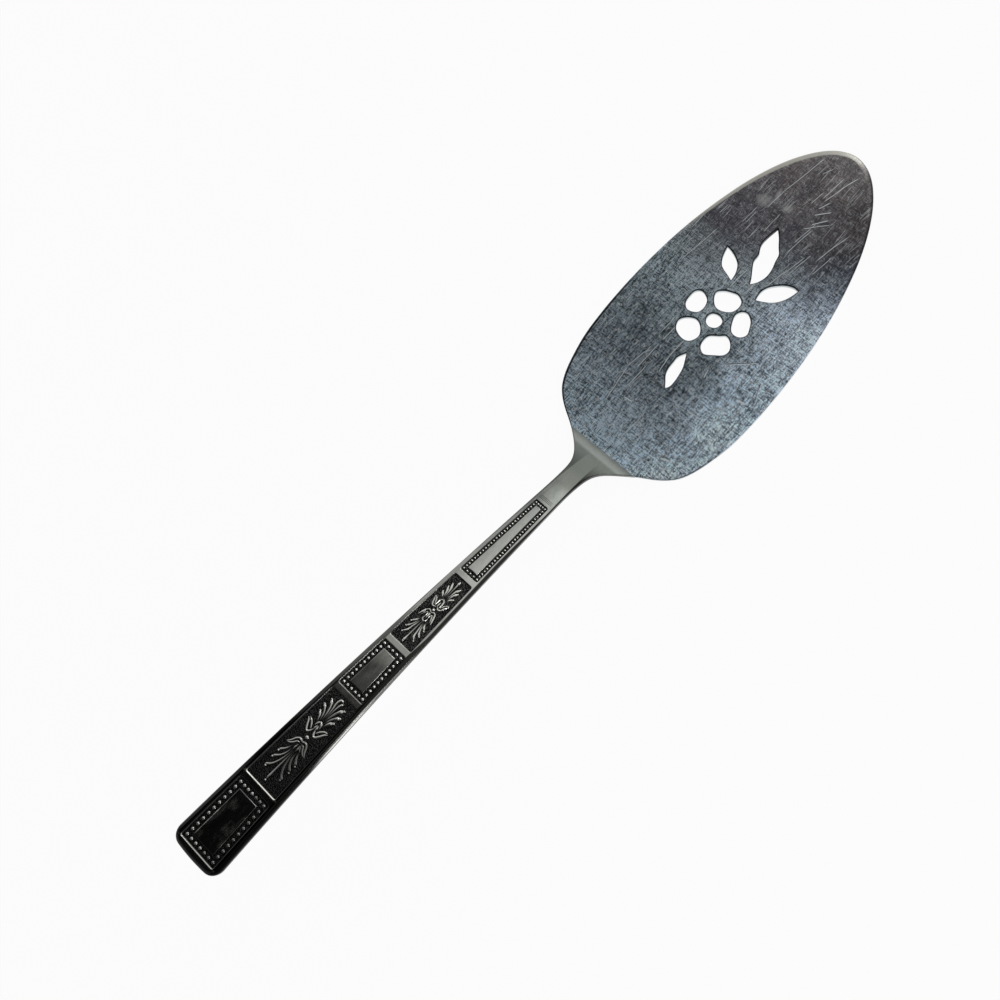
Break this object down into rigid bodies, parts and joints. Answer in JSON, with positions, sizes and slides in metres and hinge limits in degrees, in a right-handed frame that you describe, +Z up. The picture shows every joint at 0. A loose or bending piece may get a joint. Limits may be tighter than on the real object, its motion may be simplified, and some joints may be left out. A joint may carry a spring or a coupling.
{
  "type": "pie server",
  "caption": "Steel pie server: a flat leaf-shaped blade pierced with a flower and leaves, and a cranked flat handle with relief panels of beading and palmettes.",
  "frame": {"origin": "under the middle of the overall length, on the centreline, at the level of the blade's flat underside", "axes": "+X along the object to the blade's tip, +Y across it to the left, +Z up out of the decorated face; the blade lies flat on z = 0"},
  "size_m": [0.2586, 0.0556, 0.0436],
  "materials": {
    "steel": "worn stainless steel, blade finely scratched along its length, handle polished with darkened relief"
  },
  "bodies": {
    "root": {"pie_server": "steel"}
  },
  "joints": []
}
